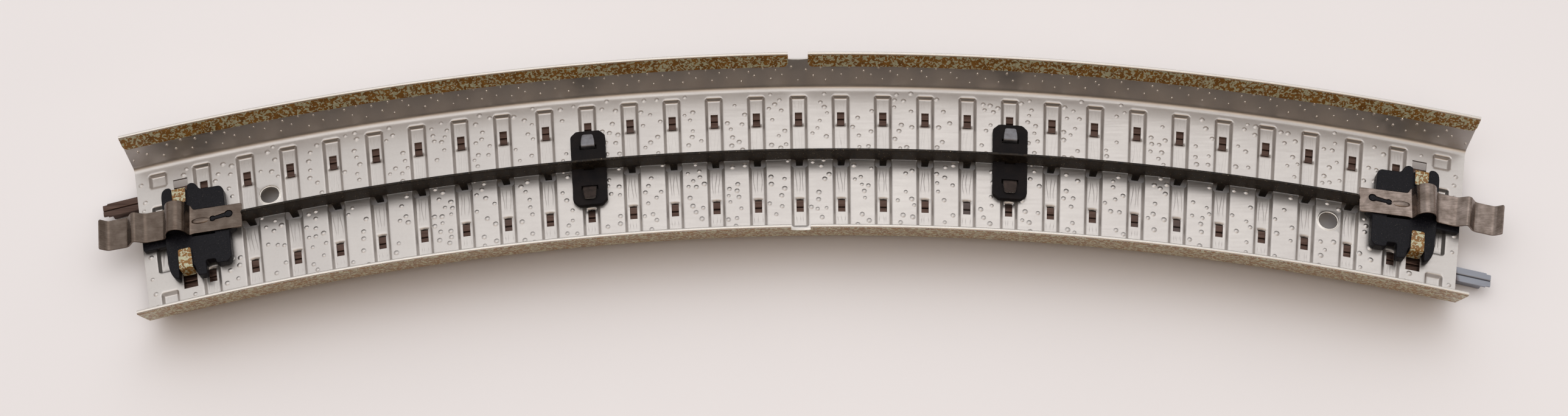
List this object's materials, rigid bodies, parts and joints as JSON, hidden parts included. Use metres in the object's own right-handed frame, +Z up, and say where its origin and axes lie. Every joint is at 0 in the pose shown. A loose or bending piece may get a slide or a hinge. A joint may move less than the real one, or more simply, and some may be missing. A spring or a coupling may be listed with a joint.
{
  "type": "model track section",
  "caption": "Curved sheet-metal model railway track section with hollow rails, a stud contact strip and sprung end contacts, lying upside down.",
  "frame": {"origin": "middle of the bounding box in X and Y, at the height of the rail heads, which the section lies on", "axes": "+X along the chord from the left end to the right end, +Y to the outside of the curve, +Z up, out of the hollow underside. The section is stored upside down, as it was seen: a half turn about X gives its position in use."},
  "size_m": [0.2424, 0.0496, 0.0114],
  "materials": {
    "tinplate": "bright tinned sheet inside, lithographed ballast print on the outside",
    "rail_steel": "dull, brown-toned folded sheet",
    "blackened_steel": "blackened, satin, dusty",
    "fibre": "matt pressed fibre board",
    "moulding": "satin black moulding",
    "spring_strip": "nickel-toned bronze strip, lightly brushed"
  },
  "bodies": {
    "track": {"roadbed": "tinplate", "outer_rail": "rail_steel", "inner_rail": "rail_steel", "contact_strip": "blackened_steel", "left_cross_plate": "fibre", "right_cross_plate": "fibre", "left_end_insulator": "moulding", "right_end_insulator": "moulding", "left_contact_root": "spring_strip", "right_contact_root": "spring_strip"},
    "left_tongue": {"left_contact_tongue": "spring_strip"},
    "right_tongue": {"right_contact_tongue": "spring_strip"}
  },
  "joints": [
    {"name": "left_contact_flex", "type": "hinge", "parent": "track", "child": "left_tongue", "pos_m": [-0.10625, -0.0052, 0.0064], "axis": [-0.1949, 0.9808, 0], "range_deg": [-6, 6], "stiffness_Nm_per_rad": 0.04},
    {"name": "right_contact_flex", "type": "hinge", "parent": "track", "child": "right_tongue", "pos_m": [0.10772, -0.00524, 0.0064], "axis": [-0.27, -0.9629, 0], "range_deg": [-6, 6], "stiffness_Nm_per_rad": 0.04}
  ]
}
